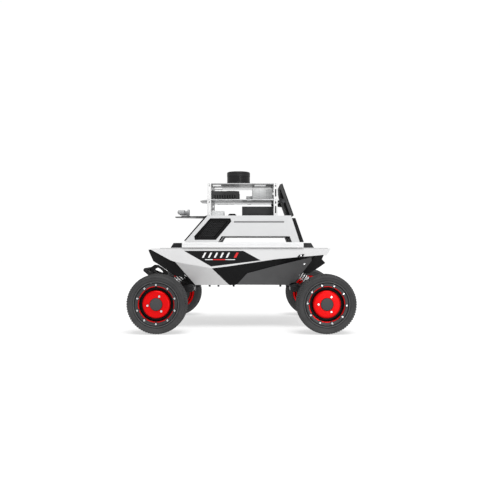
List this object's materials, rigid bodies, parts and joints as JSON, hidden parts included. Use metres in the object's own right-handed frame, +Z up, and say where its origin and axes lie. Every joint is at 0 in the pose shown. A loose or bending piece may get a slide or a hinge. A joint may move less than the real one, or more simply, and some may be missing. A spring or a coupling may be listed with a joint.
{
  "type": "four wheel robot chassis",
  "caption": "Wheeled robot chassis with swing arm suspension, hub motors, a faceted hull and a deck cabin with equipment shelves, scanner and tilting screen.",
  "frame": {"origin": "on the floor, midway between the axles and between the left and right wheels", "axes": "+X the robot's front, +Y its left side, +Z up"},
  "size_m": [0.612, 0.58, 0.463],
  "materials": {
    "tyre_rubber": "matte rubber",
    "rim_red": "red anodised, satin",
    "trim_dark": "dark anodised, satin",
    "motor_black": "satin black",
    "arm_black": "black powder coat",
    "damper_black": "black anodised",
    "rod_steel": "polished",
    "spring_steel": "bright",
    "tub_black": "black anodised",
    "cover_white": "satin white",
    "accent_black": "gloss black",
    "skirt_grey": "fine textured grey",
    "shell_black": "matte black",
    "deck_white": "white powder coat",
    "rail_black": "black anodised",
    "battery_case": "matte",
    "board_green": "solder mask",
    "kit_white": "white powder coat",
    "post_white": "white powder coat",
    "plate_silver": "brushed, clear anodised",
    "case_black": "matte black",
    "box_white": "fine textured",
    "camera_silver": "satin silver",
    "lidar_black": "satin black",
    "rotor_metal": "machined",
    "screen_black": "black glass front",
    "button_grey": "satin",
    "screw_steel": "zinc"
  },
  "bodies": {
    "chassis": {"chassis_tub": "tub_black", "side_covers": "cover_white", "accent_panels": "accent_black", "skirt_panels": "skirt_grey", "nose_cover": "shell_black", "tail_cover": "shell_black", "deck_plate": "deck_white", "deck_rails": "rail_black", "front_guard": "arm_black", "battery_pack": "battery_case", "controller_board": "board_green", "kit_base": "kit_white", "kit_housing": "kit_white", "side_grilles": "shell_black", "end_panels": "shell_black", "corner_posts": "post_white", "mid_plate": "plate_silver", "top_plate": "plate_silver", "computer": "case_black", "equipment_boxes": "box_white", "camera_shelf": "rail_black", "depth_camera": "camera_silver", "lidar_housing": "lidar_black", "monitor_bracket": "rail_black", "fasteners": "screw_steel"},
    "front_left_arm": {"front_left_swing_arm": "arm_black", "front_left_hub_motor": "motor_black"},
    "front_left_damper": {"front_left_damper_body": "damper_black", "front_left_coil_spring": "spring_steel"},
    "front_left_rod": {"front_left_damper_rod": "rod_steel"},
    "front_left_wheel": {"front_left_tyre": "tyre_rubber", "front_left_rim": "rim_red", "front_left_wheel_trim": "trim_dark"},
    "front_right_arm": {"front_right_swing_arm": "arm_black", "front_right_hub_motor": "motor_black"},
    "front_right_damper": {"front_right_damper_body": "damper_black", "front_right_coil_spring": "spring_steel"},
    "front_right_rod": {"front_right_damper_rod": "rod_steel"},
    "front_right_wheel": {"front_right_tyre": "tyre_rubber", "front_right_rim": "rim_red", "front_right_wheel_trim": "trim_dark"},
    "rear_left_arm": {"rear_left_swing_arm": "arm_black", "rear_left_hub_motor": "motor_black"},
    "rear_left_damper": {"rear_left_damper_body": "damper_black", "rear_left_coil_spring": "spring_steel"},
    "rear_left_rod": {"rear_left_damper_rod": "rod_steel"},
    "rear_left_wheel": {"rear_left_tyre": "tyre_rubber", "rear_left_rim": "rim_red", "rear_left_wheel_trim": "trim_dark"},
    "rear_right_arm": {"rear_right_swing_arm": "arm_black", "rear_right_hub_motor": "motor_black"},
    "rear_right_damper": {"rear_right_damper_body": "damper_black", "rear_right_coil_spring": "spring_steel"},
    "rear_right_rod": {"rear_right_damper_rod": "rod_steel"},
    "rear_right_wheel": {"rear_right_tyre": "tyre_rubber", "rear_right_rim": "rim_red", "rear_right_wheel_trim": "trim_dark"},
    "screen": {"monitor": "screen_black"},
    "lidar_spinner": {"lidar_rotor": "rotor_metal"},
    "button": {"power_button": "button_grey"}
  },
  "joints": [
    {"name": "front_left_suspension", "type": "hinge", "parent": "chassis", "child": "front_left_arm", "pos_m": [0.148, 0.127, 0.115], "axis": [0, 1, 0], "range_deg": [-8, 8], "stiffness_Nm_per_rad": 220, "springref_deg": 0.48},
    {"name": "front_left_damper_turn", "type": "hinge", "parent": "chassis", "child": "front_left_damper", "pos_m": [0.15, 0.118, 0.168], "axis": [0, 1, 0], "range_deg": [-5, 5]},
    {"name": "front_left_damper_stroke", "type": "slide", "parent": "front_left_damper", "child": "front_left_rod", "axis": [0.7878, 0, -0.6159], "range_m": [-0.0068, 0.0068], "deforming": ["front_left_coil_spring"]},
    {"name": "front_left_wheel_spin", "type": "hinge", "parent": "front_left_arm", "child": "front_left_wheel", "pos_m": [0.226, 0.255, 0.08], "axis": [0, 1, 0], "continuous": true},
    {"name": "front_right_suspension", "type": "hinge", "parent": "chassis", "child": "front_right_arm", "pos_m": [0.148, -0.127, 0.115], "axis": [0, 1, 0], "range_deg": [-8, 8], "stiffness_Nm_per_rad": 220, "springref_deg": 0.48},
    {"name": "front_right_damper_turn", "type": "hinge", "parent": "chassis", "child": "front_right_damper", "pos_m": [0.15, -0.118, 0.168], "axis": [0, 1, 0], "range_deg": [-5, 5]},
    {"name": "front_right_damper_stroke", "type": "slide", "parent": "front_right_damper", "child": "front_right_rod", "axis": [0.7878, 0, -0.6159], "range_m": [-0.0068, 0.0068], "deforming": ["front_right_coil_spring"]},
    {"name": "front_right_wheel_spin", "type": "hinge", "parent": "front_right_arm", "child": "front_right_wheel", "pos_m": [0.226, -0.255, 0.08], "axis": [0, 1, 0], "continuous": true},
    {"name": "rear_left_suspension", "type": "hinge", "parent": "chassis", "child": "rear_left_arm", "pos_m": [-0.148, 0.127, 0.115], "axis": [0, -1, 0], "range_deg": [-8, 8], "stiffness_Nm_per_rad": 220, "springref_deg": 0.48},
    {"name": "rear_left_damper_turn", "type": "hinge", "parent": "chassis", "child": "rear_left_damper", "pos_m": [-0.15, 0.118, 0.168], "axis": [0, -1, 0], "range_deg": [-5, 5]},
    {"name": "rear_left_damper_stroke", "type": "slide", "parent": "rear_left_damper", "child": "rear_left_rod", "axis": [-0.7878, 0, -0.6159], "range_m": [-0.0068, 0.0068], "deforming": ["rear_left_coil_spring"]},
    {"name": "rear_left_wheel_spin", "type": "hinge", "parent": "rear_left_arm", "child": "rear_left_wheel", "pos_m": [-0.226, 0.255, 0.08], "axis": [0, 1, 0], "continuous": true},
    {"name": "rear_right_suspension", "type": "hinge", "parent": "chassis", "child": "rear_right_arm", "pos_m": [-0.148, -0.127, 0.115], "axis": [0, -1, 0], "range_deg": [-8, 8], "stiffness_Nm_per_rad": 220, "springref_deg": 0.48},
    {"name": "rear_right_damper_turn", "type": "hinge", "parent": "chassis", "child": "rear_right_damper", "pos_m": [-0.15, -0.118, 0.168], "axis": [0, -1, 0], "range_deg": [-5, 5]},
    {"name": "rear_right_damper_stroke", "type": "slide", "parent": "rear_right_damper", "child": "rear_right_rod", "axis": [-0.7878, 0, -0.6159], "range_m": [-0.0068, 0.0068], "deforming": ["rear_right_coil_spring"]},
    {"name": "rear_right_wheel_spin", "type": "hinge", "parent": "rear_right_arm", "child": "rear_right_wheel", "pos_m": [-0.226, -0.255, 0.08], "axis": [0, 1, 0], "continuous": true},
    {"name": "screen_tilt", "type": "hinge", "parent": "chassis", "child": "screen", "pos_m": [-0.1202, 0, 0.3685], "axis": [0, 1, 0], "range_deg": [-2, 8]},
    {"name": "lidar_spin", "type": "hinge", "parent": "chassis", "child": "lidar_spinner", "pos_m": [0.013, 0, 0.44], "axis": [0, 0, 1], "continuous": true},
    {"name": "power_button_press", "type": "slide", "parent": "chassis", "child": "button", "axis": [0, 0, -1], "range_m": [0, 0.0025], "stiffness_N_per_m": 600}
  ],
  "couplings": [
    {"joint": "front_left_damper_turn", "follows": "front_left_suspension", "ratio": 0.55549},
    {"joint": "front_left_damper_stroke", "follows": "front_left_suspension", "m_per_rad": 0.042949},
    {"joint": "front_right_damper_turn", "follows": "front_right_suspension", "ratio": 0.55549},
    {"joint": "front_right_damper_stroke", "follows": "front_right_suspension", "m_per_rad": 0.042949},
    {"joint": "rear_left_damper_turn", "follows": "rear_left_suspension", "ratio": 0.55549},
    {"joint": "rear_left_damper_stroke", "follows": "rear_left_suspension", "m_per_rad": 0.042949},
    {"joint": "rear_right_damper_turn", "follows": "rear_right_suspension", "ratio": 0.55549},
    {"joint": "rear_right_damper_stroke", "follows": "rear_right_suspension", "m_per_rad": 0.042949}
  ]
}
